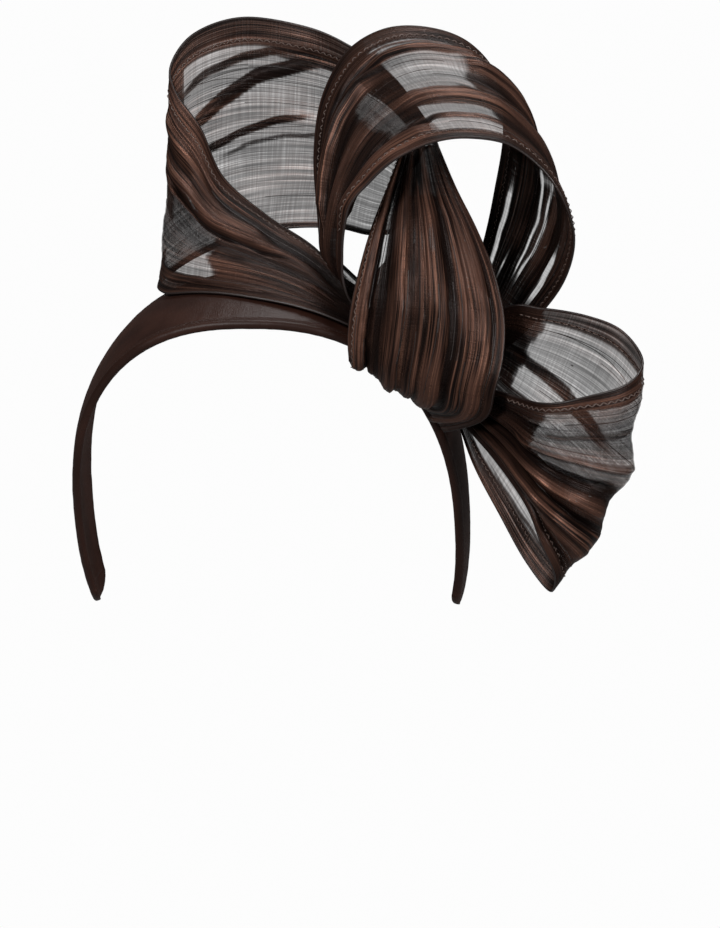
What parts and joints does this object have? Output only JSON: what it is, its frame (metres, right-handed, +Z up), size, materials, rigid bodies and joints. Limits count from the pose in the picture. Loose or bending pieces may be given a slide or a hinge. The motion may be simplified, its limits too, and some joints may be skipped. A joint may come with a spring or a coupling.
{
  "type": "fascinator on a headband",
  "caption": "Satin headband that carries a fascinator of wide translucent ribbon: upright loops, a side loop and a gathered centre knot.",
  "frame": {"origin": "middle of the band's crown, on its underside, where it sits on the head", "axes": "+Z up, +X to the side that carries the knot and the side loop, -Y to the front; the band's arms lean back"},
  "size_m": [0.2284, 0.1084, 0.2359],
  "materials": {
    "band_satin": "dark brown satin, soft sheen",
    "loop_net": "sheer dark brown woven net with slubs and doubled hems",
    "knot_silk": "the same net gathered into dense lengthwise pleats"
  },
  "bodies": {
    "root": {"headband": "band_satin", "left_loop": "loop_net", "arch_loop": "loop_net", "side_loop": "loop_net", "centre_knot": "knot_silk"}
  },
  "joints": []
}
